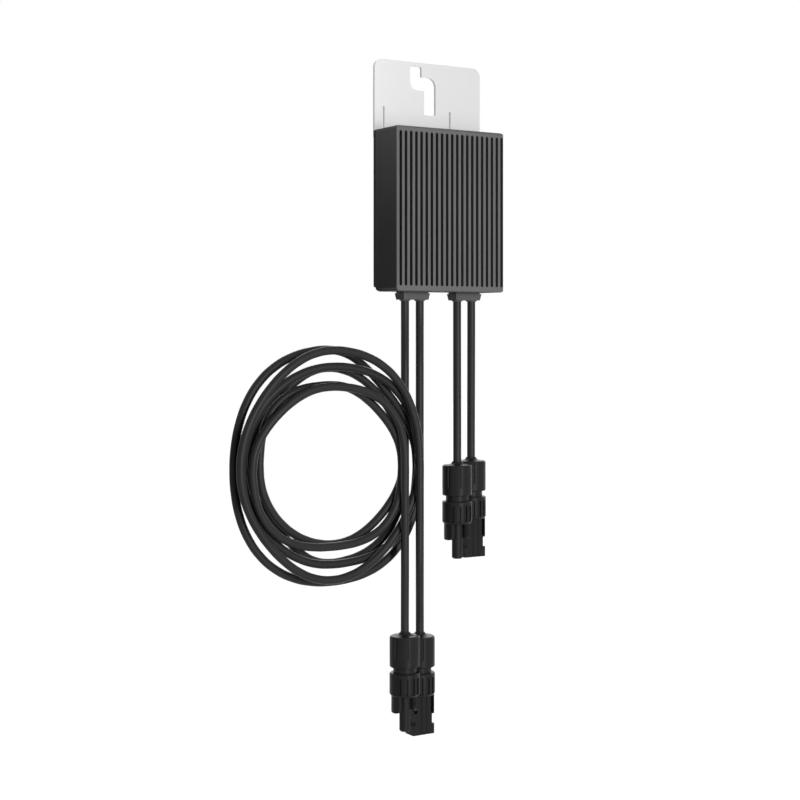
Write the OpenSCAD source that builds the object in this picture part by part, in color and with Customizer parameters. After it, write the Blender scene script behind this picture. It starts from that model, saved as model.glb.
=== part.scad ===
// Module-level power optimizer: finned housing, mounting plate, coiled leads and connectors.
// Frame: +X right, +Y to the rear, +Z up. The origin lies on the rear face of the mounting
// plate, on the housing's centre line and level with the housing's top edge.

/* [Housing] */
// Width of the housing
body_w = 86.4; // [80:0.4:110]
// Height of the housing
body_h = 109.6; // [104:0.4:140]
// Depth of the housing with its back cover
body_d = 30.7; // [29.6:0.1:40]
// Thickness of the housing's walls
wall_t = 2.6; // [2.1:0.1:3.2]
// Rounding of the housing's corners, seen from the front
corner_r = 2.4; // [0.8:0.2:3.2]
// Rounding of the front's side and lower edges
front_r = 1; // [0.4:0.2:1.6]
// Rounding of the front's top edge
brow_r = 2.4; // [0.8:0.2:2.8]

/* [Fins] */
// Distance from one fin to the next
fin_pitch = 4.08; // [3.2:0.04:6.4]
// Thickness of a fin
fin_t = 2; // [1.2:0.1:2.4]
// Depth of the grooves between the fins
fin_depth = 5.2; // [2.4:0.2:6.4]
// Plain rim above the grooves
rim_top = 3.4; // [3.2:0.2:6.4]
// Plain rim below the grooves
rim_bottom = 3.5; // [2.4:0.1:6.4]

/* [Back cover] */
// Thickness of the back cover
cover_t = 3.6; // [3.2:0.1:5]
// Height of the cover's lower edge above the housing's bottom
cover_rise = 2.7; // [1.6:0.1:4.8]
// Rounding of the cover's rear edges
cover_r = 1; // [0.4:0.2:1.6]
// Width of the cover gasket
gasket_w = 1.3; // [0.8:0.1:1.6]
// Thickness of the cover gasket
gasket_t = 1; // [0.6:0.1:1.3]
// Radius of the cover screws' threads
cover_screw_r = 1.25; // [1:0.05:1.5]
// Length of the cover screws
cover_screw_l = 10; // [7:0.5:13]

/* [Mounting plate] */
// How far the plate stands out on each side of the housing
plate_over = 0; // [0:0.1:4]
// Offset of the plate from the centre line
plate_x = 1.3; // [-2:0.1:2]
// Height of the plate above the housing
plate_rise = 48.4; // [48:0.2:72]
// Thickness of the plate
plate_t = 2; // [1.9:0.1:3.2]
// Radius of the plate's corners
plate_r = 6; // [1.6:0.4:11]
// How far the plate's shoulders reach down behind the housing
shoulder_l = 7.2; // [3.2:0.4:11]
// Width of the tongue that is screwed to the cover
tongue_w = 52.5; // [48:0.5:64]
// Offset of the tongue from the centre line
tongue_x = -7.8; // [-9.6:0.1:0]
// Length of the tongue below the housing's top edge
tongue_l = 77; // [68:0.5:88]
// Width of the relief slits beside the tongue
slit_w = 1.3; // [0.8:0.1:2.4]
// Height of the relief slits above the housing
slit_rise = 16.4; // [4:0.2:24]
// Radius of the plate screws' threads
plate_screw_r = 1.5; // [1.2:0.1:1.8]
// Length of the plate screws
plate_screw_l = 7.2; // [6.4:0.1:8]

/* [Bolt slot] */
// Width of the bolt slot
slot_w = 9.4; // [7:0.1:10.4]
// Sideways offset between the slot's two legs
slot_jog = 11.5; // [10:0.1:16]
// Distance of the slot's upper leg from the centre line
slot_x = -8.9; // [-16:0.1:-6]
// Height of the slot's lower end above the housing
slot_low = 12.6; // [8:0.1:16]
// Height of the step between the legs above the housing
slot_step = 38.6; // [35:0.1:40]
// Height of the slot's upper end above the housing
slot_high = 45.5; // [43:0.1:45.6]
// Radius of the slot's outer bends
slot_r = 6.2; // [2.4:0.1:7.2]

/* [Cable outlets] */
// Width of a cable outlet
gland_w = 21.1; // [20.6:0.1:27]
// Depth of a cable outlet
gland_d = 11.5; // [10.4:0.1:14]
// Height of a cable outlet
gland_h = 5.4; // [4:0.1:8]
// Distance from the housing's side to the middle of an outlet
gland_in = 22.1; // [18:0.1:24]
// Distance between the two cables of an outlet
cable_gap = 11.8; // [10.4:0.1:13]
// Distance of the cables from the housing's rear face
cable_depth = 14.9; // [14.4:0.1:16]

/* [Cables] */
// Diameter of the cables
cable_d = 5.6; // [4.6:0.1:5.6]
// Distance from the housing down to the input connectors
input_drop = 117.6; // [112:0.1:128]
// Distance from the housing down to the output connectors
output_drop = 229.9; // [226:0.1:240]
// Distance from the housing down to the middle of the coil
coil_drop = 114.6; // [112:0.1:120]
// Outer diameter of the coil
coil_od = 153.6; // [149:0.2:160]
// Inner diameter of the coil
coil_id = 97.6; // [88:0.2:104]
// Depth from one turn of the coil to the next
coil_layer = 5.7; // [5.7:0.05:6]

/* [Connectors] */
// Sideways distance between the two connectors of a pair
conn_gap = 18.4; // [18.2:0.1:24]
// Distance from front to back between the two connectors of a pair
conn_step = 10.2; // [10.2:0.1:10.6]
// How much lower the latch connector of the output pair hangs
out_latch_low = 3.5; // [-4:0.1:6]
// How much higher the latch connector of the input pair hangs
in_latch_lift = 1.5; // [-4:0.1:6]
// Diameter of the cap nut
nut_d = 20.4; // [19:0.1:20.6]
// Length of the cap nut
nut_l = 20.8; // [19:0.2:24]
// Grip grooves around the cap nut
nut_grooves = 8; // [6:1:16]
// Diameter of the body's threaded stem
stem_d = 15.6; // [14:0.1:15.8]
// Exposed length of the stem between nut and collar
neck_l = 3.9; // [2.4:0.1:6.4]
// Length of the body's collar
collar_l = 13.7; // [11:0.1:16]
// Length of the taper below the collar
taper_l = 1.6; // [0.8:0.1:3.2]
// Length of a nose connector
nose_l = 64; // [61:0.5:72]
// Diameter of the nose
nose_d = 7.4; // [7.2:0.1:8]
// Length of the latch pocket walls
pocket_l = 10.9; // [8:0.1:14]
// Length of a latch connector
latch_l = 66.5; // [63:0.5:76]
// Width of a latch connector's front part
latch_w = 17.2; // [15.6:0.1:17.6]
// Depth of a latch connector's front part
latch_d = 10.6; // [10.2:0.1:13]
// Diameter of the crimp contacts
contact_d = 5.2; // [4.8:0.1:5.3]
// Diameter of the contact pin and of the hole that takes it
pin_d = 4; // [3:0.1:4.2]

/* [Electronics] */
// Thickness of the circuit board
board_t = 1.2; // [0.8:0.1:1.6]
// Height of the switching transistors
transistor_h = 3; // [1.6:0.1:4]
// Thickness of the thermal pad
pad_t = 0.7; // [0.4:0.1:1.6]
// Side length of the inductor cores
core_w = 20.8; // [17.6:0.4:22]
// Height of the inductor cores
core_h = 9.6; // [8:0.2:10]
// Diameter of the input capacitors
cap_d = 9.6; // [6.4:0.2:10]
// Height of the capacitors
cap_h = 9; // [6.4:0.2:9.6]

/* [Hidden] */
$fn = 48;
eps = 0.5;
// Running gap between pieces that slide together
gap = 0.1;
cable_r = cable_d / 2;

// Housing planes
y_back = -plate_t;
y_split = y_back - cover_t;
y_front = y_back - body_d;
z_bottom = -body_h;
shell_d = body_d - cover_t;
cover_h = body_h - cover_rise;

// Cavity of the housing
cav_w = body_w - 2 * wall_t;
cav_h = cover_h - 2 * wall_t;
cav_r = 1.6;
y_cav = y_front + fin_depth + wall_t;
cav_d = y_split - y_cav;
z_cav = -wall_t - cav_h;

// Grooves of the front
groove_w = fin_pitch - fin_t;
edge_min = 0.6;
groove_n = floor((body_w - edge_min - fin_pitch) / fin_pitch) + 1;
groove_h = body_h - rim_top - rim_bottom;

// Screw posts in the corners of the cavity
post_r = 3.4;
post_in = 2.6;
post_free = 0.8;
post_x = cav_w / 2 - post_in;
post_z = [-wall_t - post_in, z_cav + post_in];
post_places = [for (x = [-post_x, post_x]) for (z = post_z) [x, z]];
screw_head_k = 1.95;
cover_head_h = cover_screw_r;
thread_gap = 0.05;

// Outline of the plate and plate screws in two rows on the tongue
plate_w = body_w + 2 * plate_over;
plate_foot_r = 3.2;
slot_end_r = 1.2;
plate_boss_r = 3.7;
plate_boss_h = 3.2;
plate_screw_dx = 17.6;
plate_screw_z = [-17.6, -60.8];
plate_places = [for (x = [-plate_screw_dx, plate_screw_dx]) for (z = plate_screw_z) [tongue_x + x, z]];
plate_head_h = 1.4;
head_sink = 0.1;

// Locating ribs on the inside of the cover
rib_t = 1.1;
rib_h = 1.2;
rib_gap = 0.3;

// Cables and outlets
y_cable = y_back - cable_depth;
gland_x = body_w / 2 - gland_in;
neck_h = 1;
neck_in = 0.8;
gland_taper = 0.8;
bush_r = cable_r + 1.4;
bush_h = cover_rise + wall_t;
lip_h = 0.8;
lip_r = cable_r + 1.2;
lip_end_r = cable_r + 0.5;
z_lip = z_bottom - gland_h - lip_h;
cable_x = [-cable_gap / 2, cable_gap / 2];

// Connector planes, measured down from the top of the cap nut
flare_h = 2.2;
nut_r = nut_d / 2;
nut_top_t = 1.6;
nut_edge = 1.3;
nut_skirt = 5.4;
grip_r = 1.05;
stem_r = stem_d / 2;
stem_gap = 0.2;
stem_top = 9.6;
cage_r = stem_r - stem_gap;
seal_l = 8;
seal_r = cable_r + 2.2;
z_crimp = stem_top + seal_l;
z_collar = nut_l + neck_l;
z_taper = z_collar + collar_l;
z_nose = z_taper + taper_l;
collar_r = nut_r + 0.1;
contact_r = contact_d / 2;
pin_r = pin_d / 2;
pin_gap = 0.05;

// Places of the four connectors: of each pair, the nose connector hangs in front
z_out = z_bottom - output_drop;
z_in = z_bottom - input_drop;
nose_side = [-conn_gap / 2, y_cable - conn_step / 2, 0];
latch_side = [conn_gap / 2, y_cable + conn_step / 2, 0];
out_nose_at = [-gland_x, 0, z_out] + nose_side;
out_latch_at = [-gland_x, 0, z_out - out_latch_low] + latch_side;
in_nose_at = [gland_x, 0, z_in] + nose_side;
in_latch_at = [gland_x, 0, z_in + in_latch_lift] + latch_side;

// Coil of the output leads: they run into its rear layer and out of its front layer
coil_turns = 3;
coil_out = 62.1;
coil_x = -gland_x - coil_out;
coil_t = coil_turns * coil_layer + cable_d;
z_coil = z_bottom - coil_drop;
coil_edge = 4.8;
stub_h = 62;
stub_y = coil_turns * coil_layer / 2;
stub_x = 5.4;
stub_side = [stub_x, stub_y, stub_h];

// Routes of the loose cables: straight at both ends, with one double bend between
exit_l = 6;
entry_l = 6;
stub_l = 2;
bend_steps = 10;
tube_sides = 12;
function ease(t) = t * t * (3 - 2 * t);
function bent_route(from, to, down, up) = concat([from], [for (i = [0:bend_steps])
    let (t = i / bend_steps, z = from.z - down + (to.z + up - from.z + down) * t)
    [from.x + (to.x - from.x) * ease(t), from.y + (to.y - from.y) * ease(t), z]], [to]);
function out_place(x) = [x, y_cable, z_lip];
function coil_place(x, side) = [x, y_cable, z_coil] + side * stub_side;
function crimp_place(at) = at - [0, 0, z_crimp];

// Circuit board, on standoffs in front of the lead tails
board_gap = transistor_h + pad_t;
y_board = y_cav + board_gap;
y_mount = y_board + board_t;
board_in = 0.8;
board_w = cav_w - 2 * board_in;
board_h = cav_h - 2 * board_in;
standoff_r = 2.6;
standoff_in = 11.2;
standoff_x = board_w / 2 - 4;
standoff_z = [z_cav + standoff_in, -wall_t - standoff_in];
standoff_places = [for (x = [-standoff_x, standoff_x]) for (z = standoff_z) [x, z]];
board_screw_r = 1;

// Lead tails and their lugs on the board
tail_l = 12.8;
z_tail = z_cav + tail_l;
barrel_l = 5.6;
barrel_r = 1.9;
lug_root = 2.4;
palm_w = 7.2;
palm_l = 11.2;
palm_t = max(1, y_cable - y_mount - 1.6);
z_palm = z_tail + barrel_l - 0.8;
lug_screw_r = 1.5;
lug_hole_r = lug_screw_r + gap;
z_lug = z_palm + palm_l / 2;
lug_places = [for (side = [-gland_x, gland_x]) for (x = cable_x) side + x];
nut_h = 2.4;
nut_af = 5.5;

// Rows of parts on the board: inductors at the top, chips above the lugs, capacitors between
core_x = board_w / 4;
core_in = 14;
core_z = -wall_t - board_in - core_in - core_w / 2;
core_lid = 2;
core_leg_r = core_w * 0.19;
core_side = core_w * 0.12;
chip_h = 8;
chip_t = 1.3;
chip_gap = 2;
chip_z = z_palm + palm_l + chip_gap + chip_h / 2;
chips = [[-board_w / 4, 9.6], [0, 6.4], [board_w / 4, 11.2]];
part_z = (core_z - core_w / 2 + chip_z + chip_h / 2) / 2;
part_gap = 1.2;
film_w = 6.4;
film_l = 13;
film_r = 0.8;
cap_foot = 1.6;
cap_crimp = 0.5;
cap_edge = 0.6;
transistor_w = 8;
transistor_l = 7.2;
transistor_dx = board_w / 5;
transistor_up = 3;
transistor_dz = 14;
transistor_z = [core_z + transistor_up, core_z + transistor_up - transistor_dz];
pad_edge = 3;

// Piece of material that a corner of radius r removes, with the corner at the origin
module corner_cut(r) {
    difference() {
        translate([-eps, -eps]) square(r + eps);
        translate([r, r]) circle(r);
    }
}

// Rectangle from the origin with radii at lower left, lower right, upper right, upper left
module rounded_rect(w, h, radii) {
    places = [[0, 0], [w, 0], [w, h], [0, h]];
    difference() {
        square([w, h]);
        for (i = [0:3])
            if (radii[i] > 0)
                translate(places[i]) rotate(90 * i) corner_cut(radii[i]);
    }
}

// Outline drawn in X and Z, extruded from plane y towards the front
module from_front(y, depth) {
    translate([0, y, 0]) rotate([90, 0, 0]) linear_extrude(depth) children();
}

// Outline drawn in Y and Z, extruded from plane x to the right
module from_left(x, width) {
    translate([x, 0, 0]) rotate([90, 0, 90]) linear_extrude(width) children();
}

// Round peg from plane y towards the front
module peg(at, y, r, length) {
    translate([at.x, y, at.y]) rotate([90, 0, 0]) cylinder(r = r, h = length);
}

// Flat-head screw from plane y towards the front
module flat_screw(at, y, r, head_h, length) {
    translate([at.x, y, at.y]) rotate([90, 0, 0]) {
        cylinder(r1 = r * screw_head_k, r2 = r, h = head_h);
        cylinder(r = r, h = length);
    }
}

// Pan-head screw whose head rests on plane y, thread towards the front
module pan_screw(at, y, r, length) {
    peg(at, y + eps, r, length + eps);
    translate([at.x, y, at.y]) rotate([-90, 0, 0])
        cylinder(r1 = r * screw_head_k, r2 = r * 1.5, h = r * 1.2);
}

// Box on the board's rear face, given by its middle in X and Z
module on_board(x, z, size) {
    translate([x - size.x / 2, y_mount, z - size.z / 2]) cube(size);
}

module housing_block() {
    intersection() {
        from_front(y_split, shell_d)
            translate([-body_w / 2, z_bottom])
                rounded_rect(body_w, body_h, [corner_r, corner_r, corner_r, corner_r]);
        translate([-body_w / 2, y_front, z_bottom])
            linear_extrude(body_h) rounded_rect(body_w, shell_d, [front_r, front_r, 0, 0]);
        from_left(-body_w / 2, body_w)
            translate([y_front, z_bottom])
                rounded_rect(shell_d, body_h, [front_r, corner_r, 0, brow_r]);
    }
}

module groove_outline() {
    r = groove_w / 2;
    translate([0, r]) square([groove_w, groove_h - groove_w]);
    translate([r, r]) circle(r);
    translate([r, groove_h - r]) circle(r);
}

module finned_housing() {
    color([0.1, 0.1, 0.11]) difference() {
        union() {
            difference() {
                housing_block();
                from_front(y_split + eps, cav_d + eps)
                    translate([-cav_w / 2, z_cav]) rounded_rect(cav_w, cav_h, [cav_r, cav_r, cav_r, cav_r]);
            }
            for (p = post_places) peg(p, y_split, post_r, cav_d + eps);
            for (p = standoff_places) peg(p, y_board, standoff_r, board_gap + eps);
        }
        for (i = [0:groove_n - 1])
            from_front(y_front + fin_depth, fin_depth + eps)
                translate([-body_w / 2 + fin_t + i * fin_pitch, z_bottom + rim_bottom]) groove_outline();
        for (p = post_places)
            peg(p, y_split + eps, cover_screw_r + thread_gap, cover_screw_l - cover_t + 2 * eps);
        for (p = standoff_places) peg(p, y_board + eps, board_screw_r + thread_gap, board_gap + eps);
        for (x = lug_places)
            translate([x, y_cable, z_bottom - eps]) cylinder(r = bush_r + gap, h = bush_h + 2 * eps);
    }
}

module cover_outline(inset, r) {
    translate([-body_w / 2 + inset, -cover_h + inset])
        rounded_rect(body_w - 2 * inset, cover_h - 2 * inset, [r, r, r, r]);
}

module gasket_outline() {
    rim_in = (wall_t - gasket_w) / 2;
    difference() {
        cover_outline(rim_in, max(corner_r - rim_in, 0.3));
        cover_outline(rim_in + gasket_w, max(corner_r - rim_in - gasket_w, 0.3));
    }
}

module back_cover() {
    rib_x = 2 * (post_x - post_r - post_free);
    rib_z = post_z[0] - post_z[1] - 2 * post_r - 2 * post_free;
    color([0.07, 0.07, 0.075]) difference() {
        union() {
            intersection() {
                from_front(y_back, cover_t) cover_outline(0, corner_r);
                translate([-body_w / 2, y_split, -cover_h])
                    linear_extrude(cover_h) rounded_rect(body_w, cover_t, [0, 0, cover_r, cover_r]);
                from_left(-body_w / 2, body_w)
                    translate([y_split, -cover_h]) rounded_rect(cover_t, cover_h, [0, cover_r, cover_r, 0]);
            }
            for (p = plate_places) peg(p, y_split + eps, plate_boss_r, plate_boss_h + eps);
            for (z = [-wall_t - rib_gap - rib_t, z_cav + rib_gap])
                translate([-rib_x / 2, y_split - rib_h, z]) cube([rib_x, rib_h + eps, rib_t]);
            for (x = [-cav_w / 2 + rib_gap, cav_w / 2 - rib_gap - rib_t])
                translate([x, y_split - rib_h, post_z[1] + post_r + post_free])
                    cube([rib_t, rib_h + eps, rib_z]);
        }
        from_front(y_split + gasket_t, gasket_t + eps) gasket_outline();
        for (p = post_places) {
            peg(p, y_back + eps, cover_screw_r + gap, cover_t + 2 * eps);
            flat_screw(p, y_back - head_sink, cover_screw_r + thread_gap, cover_head_h, cover_t);
            peg(p, y_back + eps, (cover_screw_r + thread_gap) * screw_head_k, eps + head_sink);
        }
        for (p = plate_places)
            peg(p, y_back + eps, plate_screw_r + thread_gap, cover_t + plate_boss_h + 2 * eps);
    }
}

module cover_gasket() {
    color([0.2, 0.2, 0.2]) from_front(y_split + gasket_t, gasket_t) gasket_outline();
}

module cover_screws() {
    color([0.6, 0.6, 0.62]) for (p = post_places)
        flat_screw(p, y_back - head_sink, cover_screw_r, cover_head_h, cover_screw_l - head_sink);
}

// Offset slot: the bolt drops in at the upper leg, moves across and hangs in the lower leg
module slot_outline() {
    left = slot_x - slot_w / 2;
    right = left + slot_jog + slot_w;
    translate([left, slot_step - slot_w + slot_r])
        rounded_rect(slot_w, slot_high - slot_step + slot_w - slot_r, [0, 0, slot_end_r, slot_end_r]);
    translate([right - slot_w, slot_low])
        rounded_rect(slot_w, slot_step - slot_r - slot_low, [slot_end_r, slot_end_r, 0, 0]);
    translate([left, slot_step - slot_w])
        rounded_rect(right - left, slot_w, [slot_r, 0, slot_r, 0]);
}

module mounting_plate() {
    color([0.86, 0.86, 0.87]) difference() {
        from_front(0, plate_t) difference() {
            union() {
                translate([plate_x - plate_w / 2, -shoulder_l])
                    rounded_rect(plate_w, plate_rise + shoulder_l,
                                 [plate_foot_r, plate_foot_r, plate_r, plate_r]);
                translate([tongue_x - tongue_w / 2, -tongue_l])
                    rounded_rect(tongue_w, tongue_l, [plate_foot_r, plate_foot_r, 0, 0]);
            }
            for (x = [-tongue_w / 2 - slit_w, tongue_w / 2])
                translate([tongue_x + x, -shoulder_l - eps])
                    rounded_rect(slit_w, slit_rise + shoulder_l + eps, [0, 0, slit_w / 2.5, slit_w / 2.5]);
            slot_outline();
        }
        for (p = plate_places) {
            peg(p, eps, plate_screw_r + gap, plate_t + 2 * eps);
            flat_screw(p, -head_sink, plate_screw_r + thread_gap, plate_head_h, plate_t);
            peg(p, eps, (plate_screw_r + thread_gap) * screw_head_k, eps + head_sink);
        }
    }
}

module plate_screws() {
    color([0.6, 0.6, 0.62]) for (p = plate_places)
        flat_screw(p, -head_sink, plate_screw_r, plate_head_h, plate_screw_l - head_sink);
}

// Outlet block with a shadow gap under the housing, two bushes and a lip round each cable
module gland(x) {
    half_w = gland_w / 2;
    half_d = gland_d / 2;
    color([0.09, 0.09, 0.09]) translate([x, y_cable, z_bottom]) difference() {
        union() {
            translate([-half_w + neck_in, -half_d + neck_in, -neck_h])
                cube([gland_w - 2 * neck_in, gland_d - 2 * neck_in, neck_h]);
            intersection() {
                from_front(half_d, gland_d)
                    polygon([[-half_w, -neck_h], [half_w, -neck_h],
                             [half_w - gland_taper, -gland_h], [-half_w + gland_taper, -gland_h]]);
                from_left(-half_w, gland_w)
                    polygon([[-half_d, -neck_h], [half_d, -neck_h],
                             [half_d - gland_taper, -gland_h], [-half_d + gland_taper, -gland_h]]);
            }
            for (dx = cable_x) translate([dx, 0, 0]) {
                translate([0, 0, -neck_h]) cylinder(r = bush_r, h = neck_h + bush_h);
                translate([0, 0, -gland_h - lip_h])
                    cylinder(r1 = lip_end_r, r2 = lip_r, h = lip_h + thread_gap);
            }
        }
        for (dx = cable_x)
            translate([dx, 0, -gland_h - lip_h - eps])
                cylinder(r = cable_r + thread_gap, h = gland_h + lip_h + bush_h + 2 * eps);
    }
}

module output_gland() { gland(-gland_x); }
module input_gland() { gland(gland_x); }

module circuit_board() {
    color([0.05, 0.3, 0.14]) difference() {
        from_front(y_mount, board_t)
            translate([-board_w / 2, z_cav + board_in]) square([board_w, board_h]);
        for (p = post_places) peg(p, y_mount + eps, post_r + board_in, board_t + 2 * eps);
        for (p = standoff_places) peg(p, y_mount + eps, board_screw_r + 2 * gap, board_t + 2 * eps);
        for (x = lug_places) peg([x, z_lug], y_mount + eps, lug_hole_r, board_t + 2 * eps);
    }
}

module board_screws() {
    color([0.6, 0.6, 0.62]) for (p = standoff_places)
        pan_screw(p, y_mount, board_screw_r, board_t + board_gap - eps);
}

// Pot cores: a base and a lid joined by a round middle leg and two side walls
module inductor_cores() {
    color([0.16, 0.15, 0.15]) for (x = [-core_x, core_x]) {
        on_board(x, core_z, [core_w, core_lid, core_w]);
        translate([0, core_h - core_lid, 0]) on_board(x, core_z, [core_w, core_lid, core_w]);
        peg([x, core_z], y_mount + core_h, core_leg_r, core_h);
        for (side = [-1, 1])
            on_board(x + side * (core_w - core_side) / 2, core_z, [core_side, core_h, core_w]);
    }
}

module inductor_windings() {
    outer_r = core_w / 2 - core_side - gap;
    coil_h = core_h - 2 * core_lid;
    color([0.7, 0.38, 0.16]) for (x = [-core_x, core_x]) difference() {
        peg([x, core_z], y_mount + core_lid + coil_h, outer_r, coil_h);
        peg([x, core_z], y_mount + core_lid + coil_h + eps, core_leg_r + gap, coil_h + 2 * eps);
    }
}

module input_capacitors() {
    r = cap_d / 2;
    color([0.12, 0.12, 0.2]) for (i = [0:2])
        translate([r + part_gap + i * (cap_d + part_gap), y_mount, part_z])
            rotate([-90, 0, 0]) rotate_extrude() polygon([
                [0, 0], [r, 0], [r, cap_foot], [r - cap_crimp, cap_foot + cap_crimp],
                [r, cap_foot + 2 * cap_crimp], [r, cap_h - cap_edge], [r - cap_edge, cap_h], [0, cap_h]
            ]);
}

module output_capacitors() {
    color([0.55, 0.42, 0.1]) for (i = [0:2])
        translate([-(i + 1) * (film_w + part_gap), y_mount, part_z - film_l / 2])
            linear_extrude(film_l) rounded_rect(film_w, cap_h, [0, 0, film_r, film_r]);
}

module switching_transistors() {
    color([0.1, 0.1, 0.1]) for (z = transistor_z) for (i = [-1:1])
        translate([i * transistor_dx - transistor_w / 2, y_cav + pad_t, z - transistor_l / 2])
            cube([transistor_w, transistor_h, transistor_l]);
}

module thermal_pad() {
    pad_w = 2 * transistor_dx + transistor_w + 2 * pad_edge;
    pad_l = transistor_z[0] - transistor_z[1] + transistor_l + 2 * pad_edge;
    color([0.5, 0.6, 0.65])
        translate([-pad_w / 2, y_cav, transistor_z[1] - transistor_l / 2 - pad_edge])
            cube([pad_w, pad_t, pad_l]);
}

module control_chips() {
    color([0.08, 0.08, 0.08]) for (chip = chips) on_board(chip[0], chip_z, [chip[1], chip_t, chip_h]);
}

module lead_tails(x) {
    color([0.08, 0.08, 0.08]) for (dx = cable_x)
        translate([x + dx, y_cable, z_lip]) cylinder(r = cable_r, h = z_tail - z_lip);
}

module output_lead_tails() { lead_tails(-gland_x); }
module input_lead_tails() { lead_tails(gland_x); }

// Crimped barrel on the lead tail with a flat palm that lies on the board
module terminal_lugs() {
    color([0.75, 0.68, 0.55]) for (x = lug_places) difference() {
        union() {
            translate([x, y_cable, z_tail]) cylinder(r = barrel_r, h = barrel_l);
            translate([x - palm_w / 2, y_mount, z_palm]) cube([palm_w, palm_t, palm_l]);
            translate([x - barrel_r, y_mount, z_tail + barrel_l - lug_root])
                cube([2 * barrel_r, y_cable - y_mount, lug_root]);
        }
        peg([x, z_lug], y_mount + palm_t + eps, lug_hole_r, palm_t + 2 * eps);
    }
}

module terminal_screws() {
    color([0.6, 0.6, 0.62]) for (x = lug_places)
        pan_screw([x, z_lug], y_mount + palm_t, lug_screw_r, palm_t + board_t + nut_h);
}

module terminal_nuts() {
    color([0.6, 0.6, 0.62]) for (x = lug_places) difference() {
        translate([x, y_board, z_lug]) rotate([90, 0, 0])
            cylinder(d = nut_af / cos(30), h = nut_h, $fn = 6);
        peg([x, z_lug], y_board + eps, lug_screw_r + thread_gap, nut_h + 2 * eps);
    }
}

// Cap nut with a flared cable entry, grip grooves and a plain skirt
module cap_nut(at) {
    hole_r = cable_r + 2 * gap;
    inner_r = stem_r + stem_gap;
    foot = 0.5;
    flare_r = hole_r + 0.5;
    flare_out = 3.4;
    color([0.09, 0.09, 0.09]) translate(at) difference() {
        rotate_extrude() polygon([
            [hole_r, flare_h], [flare_r, flare_h], [flare_r + flare_out * 0.15, flare_h * 0.5],
            [flare_r + flare_out * 0.45, flare_h * 0.2], [flare_r + flare_out, 0],
            [nut_r - nut_edge, 0], [nut_r - nut_edge * 0.3, -nut_edge * 0.3], [nut_r, -nut_edge],
            [nut_r, -nut_l + foot], [nut_r - foot, -nut_l], [inner_r, -nut_l],
            [inner_r, -nut_top_t], [hole_r, -nut_top_t]
        ]);
        for (i = [0:nut_grooves - 1])
            rotate(360 * (i + 0.5) / nut_grooves)
                translate([nut_r + grip_r * 0.55, 0, -nut_l + nut_skirt])
                    cylinder(r = grip_r, h = nut_l - nut_skirt + eps, $fn = 24);
    }
}

// Slotted clamp ring between the nut's roof and the stem
module clamp_cage(at) {
    fingers = 6;
    cut_w = 1;
    foot = 2.4;
    color([0.75, 0.75, 0.72]) translate(at) difference() {
        translate([0, 0, -stem_top]) cylinder(r = cage_r, h = stem_top - nut_top_t);
        translate([0, 0, -stem_top - eps]) cylinder(r = cable_r + 3 * gap, h = stem_top + 2 * eps);
        for (i = [0:fingers - 1])
            rotate(360 * i / fingers) translate([cable_r, -cut_w / 2, -stem_top + foot])
                cube([stem_r, cut_w, stem_top]);
    }
}

// Seal ring with a waist
module cable_seal(at) {
    inner_r = cable_r + gap;
    waist = 0.4;
    bead = 2.4;
    color([0.3, 0.3, 0.3]) translate(at - [0, 0, stem_top]) rotate_extrude() polygon([
        [inner_r, 0], [seal_r, 0], [seal_r, -bead], [seal_r - waist, -bead - waist],
        [seal_r - waist, -seal_l + bead + waist], [seal_r, -seal_l + bead], [seal_r, -seal_l],
        [inner_r, -seal_l]
    ]);
}

// Stem and round collar that both kinds of body share, with ribbed panels front and back
module body_head() {
    panel_top = 2.8;
    panel_t = 1.3;
    cut_w = 2.6;
    cut_pitch = 26;
    edge = 0.6;
    taper_in = 1;
    translate([0, 0, -z_collar - eps]) cylinder(r = stem_r, h = z_collar - stem_top + eps);
    difference() {
        rotate_extrude() polygon([
            [0, -z_collar], [collar_r - edge, -z_collar], [collar_r, -z_collar - edge],
            [collar_r, -z_taper], [collar_r - taper_in, -z_nose], [0, -z_nose]
        ]);
        for (side = [-90, 90]) for (i = [-2:2])
            rotate(side + i * cut_pitch) translate([collar_r - panel_t, -cut_w / 2, -z_taper])
                cube([panel_t + eps, cut_w, collar_l - panel_top]);
    }
}

// Bores for the seal and for the crimp contact
module body_bores(length) {
    translate([0, 0, -z_crimp]) cylinder(r = seal_r + gap, h = seal_l + eps);
    translate([0, 0, -length - eps]) cylinder(r = contact_r + gap, h = length);
}

// Body with a round nose between two latch pocket walls
module nose_body(at) {
    wall_r = collar_r - 1.2;
    pocket_t = 1.7;
    wall_y = 9.8;
    end_r = 2.6;
    tip = 0.8;
    color([0.09, 0.09, 0.09]) translate(at) difference() {
        union() {
            body_head();
            translate([0, 0, -nose_l + tip]) cylinder(d = nose_d, h = nose_l - z_nose);
            translate([0, 0, -nose_l]) cylinder(d1 = nose_d - 2 * tip, d2 = nose_d, h = tip + thread_gap);
            intersection() {
                difference() {
                    translate([0, 0, -z_nose - pocket_l]) cylinder(r = wall_r, h = pocket_l + eps);
                    translate([0, 0, -nose_l]) cylinder(r = wall_r - pocket_t, h = nose_l);
                }
                from_left(-wall_r, 2 * wall_r)
                    translate([-wall_y / 2, -z_nose - pocket_l])
                        rounded_rect(wall_y, pocket_l + eps, [end_r, end_r, 0, 0]);
            }
        }
        body_bores(nose_l);
    }
}

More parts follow.
